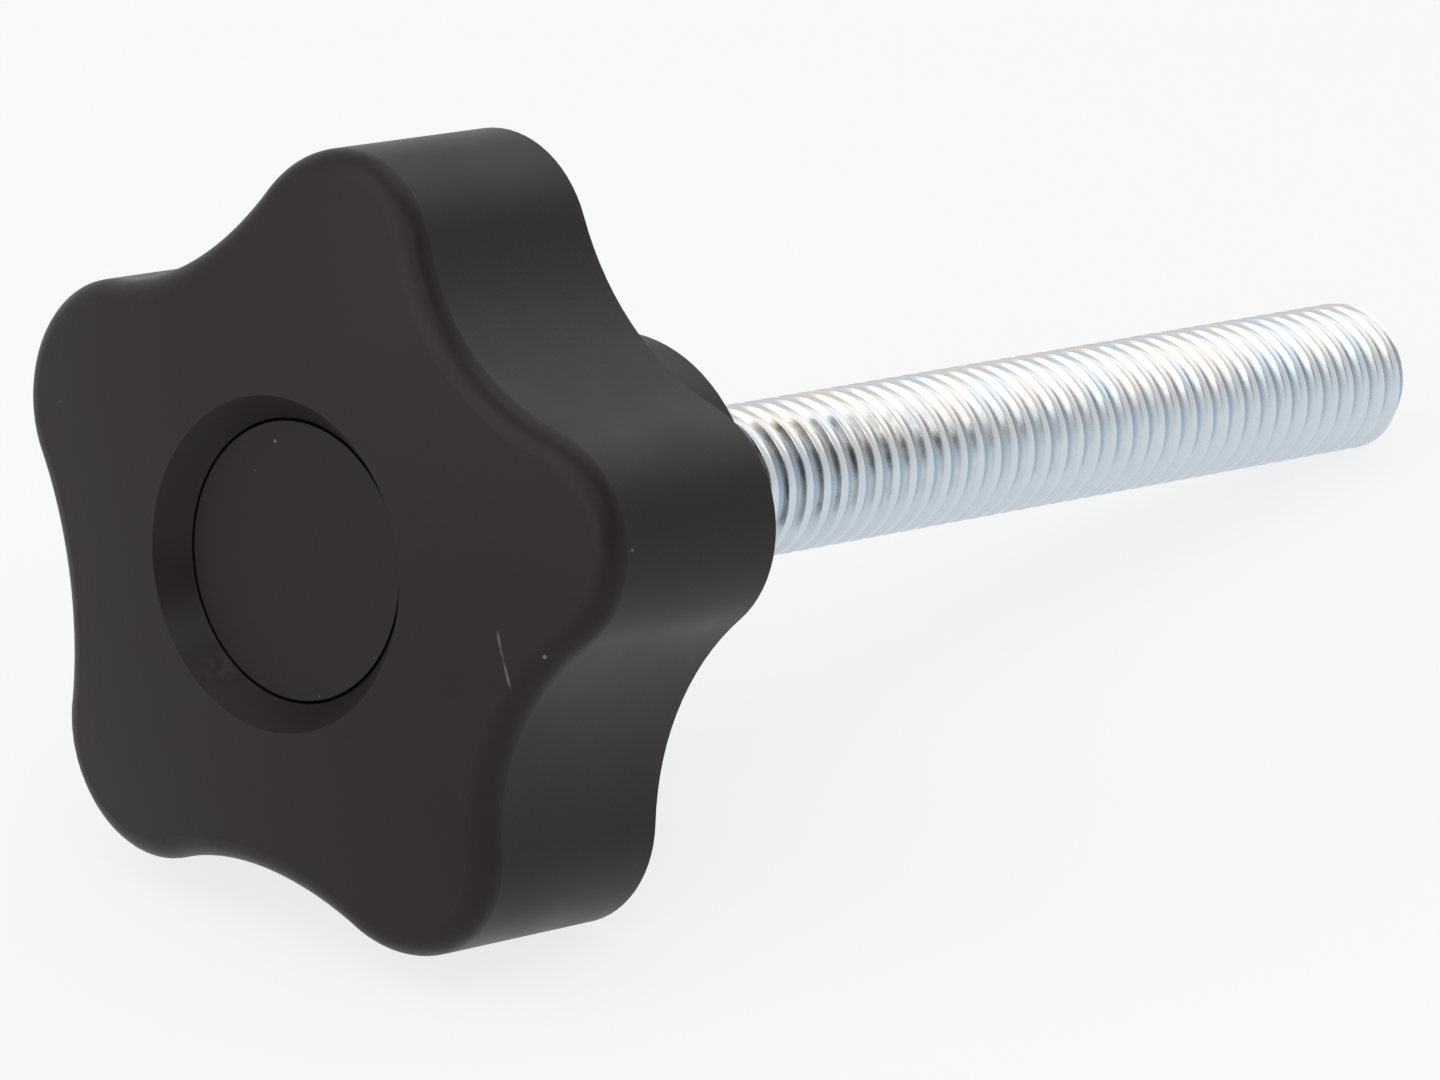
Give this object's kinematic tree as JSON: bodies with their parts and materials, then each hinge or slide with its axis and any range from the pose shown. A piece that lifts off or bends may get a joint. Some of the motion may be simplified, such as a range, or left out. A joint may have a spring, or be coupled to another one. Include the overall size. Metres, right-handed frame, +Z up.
{
  "type": "star knob",
  "caption": "Star grip with a lobed black plastic head, a cover cap in its face and a fully threaded steel stud, for clamping by hand.",
  "frame": {"origin": "on the surface the knob lies on, under the middle of its bounding box", "axes": "+Z up; +X along the part's length, from the knob's face to the stud's end; the part is symmetric about Y = 0"},
  "size_m": [0.064, 0.029, 0.0291],
  "materials": {
    "grip_plastic": "black, finely textured, satin",
    "cap_plastic": "black, finely textured, satin",
    "zinc_steel": "bright zinc plating, blue passivated"
  },
  "bodies": {
    "root": {"knob_body": "grip_plastic", "cover_cap": "cap_plastic", "threaded_stud": "zinc_steel"}
  },
  "joints": []
}
